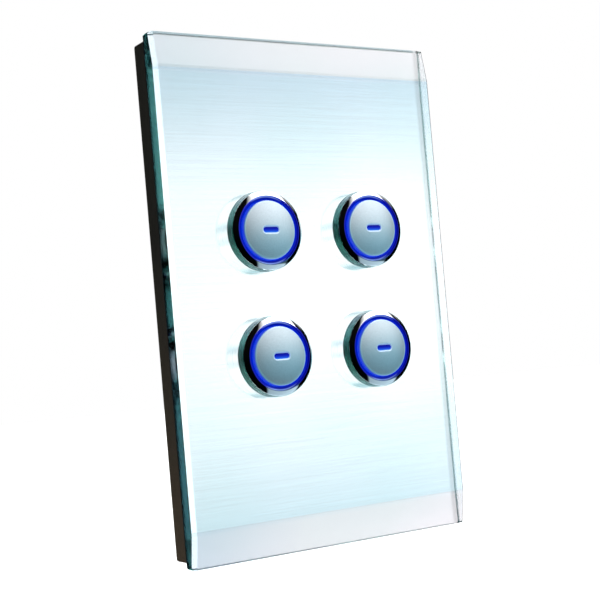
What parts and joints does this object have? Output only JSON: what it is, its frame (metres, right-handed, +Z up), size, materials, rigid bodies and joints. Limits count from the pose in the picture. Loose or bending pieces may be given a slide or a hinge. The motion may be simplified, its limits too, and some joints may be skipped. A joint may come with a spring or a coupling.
{
  "type": "smart wall keypad",
  "caption": "Wall keypad with a bevelled glass plate over a brushed silver backing and round lit push-buttons in chrome bezels.",
  "frame": {"origin": "midway between the two wall screw holes, in the plane of the wall", "axes": "+Z up along the plate, +X to the right seen from the room, +Y into the wall; the face looks along -Y"},
  "size_m": [0.076, 0.0398, 0.118],
  "materials": {
    "clear_glass": "clear float glass, polished bevels",
    "brushed_silver": "horizontally brushed, pale ice blue",
    "dark_moulding": "fine matt",
    "base_moulding": "moulded, matt",
    "white_moulding": "translucent white, satin",
    "green_board": "solder mask, satin",
    "lamp": "clear resin over phosphor",
    "black_chip": "moulded epoxy",
    "ferrite": "sintered ferrite",
    "can_aluminium": "drawn can",
    "terminal_moulding": "moulded, satin",
    "clamp_brass": "stamped",
    "screw_steel": "zinc plated",
    "chrome": "polished chrome plate",
    "blue_light": "translucent light guide, lit deep blue",
    "satin_silver": "satin silver lacquer",
    "silicone": "translucent silicone"
  },
  "bodies": {
    "base": {"mounting_base": "base_moulding", "light_box": "white_moulding", "switch_board": "green_board", "bus_board": "green_board", "ring_leds": "lamp", "indicator_leds": "lamp", "microcontroller": "black_chip", "board_socket": "black_chip", "board_header": "black_chip", "bus_transformer": "ferrite", "capacitors": "can_aluminium", "resistors": "black_chip", "terminal_block": "terminal_moulding", "terminal_clamps": "clamp_brass", "terminal_screws": "screw_steel", "rear_housing": "base_moulding", "housing_screws": "screw_steel", "light_ring_upper_left": "blue_light", "tact_switch_upper_left": "black_chip", "return_dome_upper_left": "silicone", "light_ring_upper_right": "blue_light", "tact_switch_upper_right": "black_chip", "return_dome_upper_right": "silicone", "light_ring_lower_left": "blue_light", "tact_switch_lower_left": "black_chip", "return_dome_lower_left": "silicone", "light_ring_lower_right": "blue_light", "tact_switch_lower_right": "black_chip", "return_dome_lower_right": "silicone"},
    "fascia": {"glass_fascia": "clear_glass", "brushed_backing": "brushed_silver", "fascia_frame": "dark_moulding", "chrome_bezel_upper_left": "chrome", "chrome_bezel_upper_right": "chrome", "chrome_bezel_lower_left": "chrome", "chrome_bezel_lower_right": "chrome"},
    "button_upper_left": {"button_cap_upper_left": "satin_silver", "indicator_lens_upper_left": "blue_light", "button_stem_upper_left": "white_moulding", "tact_plunger_upper_left": "black_chip"},
    "button_upper_right": {"button_cap_upper_right": "satin_silver", "indicator_lens_upper_right": "blue_light", "button_stem_upper_right": "white_moulding", "tact_plunger_upper_right": "black_chip"},
    "button_lower_left": {"button_cap_lower_left": "satin_silver", "indicator_lens_lower_left": "blue_light", "button_stem_lower_left": "white_moulding", "tact_plunger_lower_left": "black_chip"},
    "button_lower_right": {"button_cap_lower_right": "satin_silver", "indicator_lens_lower_right": "blue_light", "button_stem_lower_right": "white_moulding", "tact_plunger_lower_right": "black_chip"}
  },
  "joints": [
    {"name": "fascia_release", "type": "slide", "parent": "base", "child": "fascia", "axis": [0, -1, 0], "range_m": [0, 0.012]},
    {"name": "press_upper_left", "type": "slide", "parent": "base", "child": "button_upper_left", "axis": [0, 1, 0], "range_m": [0, 0.0008], "stiffness_N_per_m": 1200, "springref_m": -0.001, "deforming": ["return_dome_upper_left"]},
    {"name": "press_upper_right", "type": "slide", "parent": "base", "child": "button_upper_right", "axis": [0, 1, 0], "range_m": [0, 0.0008], "stiffness_N_per_m": 1200, "springref_m": -0.001, "deforming": ["return_dome_upper_right"]},
    {"name": "press_lower_left", "type": "slide", "parent": "base", "child": "button_lower_left", "axis": [0, 1, 0], "range_m": [0, 0.0008], "stiffness_N_per_m": 1200, "springref_m": -0.001, "deforming": ["return_dome_lower_left"]},
    {"name": "press_lower_right", "type": "slide", "parent": "base", "child": "button_lower_right", "axis": [0, 1, 0], "range_m": [0, 0.0008], "stiffness_N_per_m": 1200, "springref_m": -0.001, "deforming": ["return_dome_lower_right"]}
  ]
}
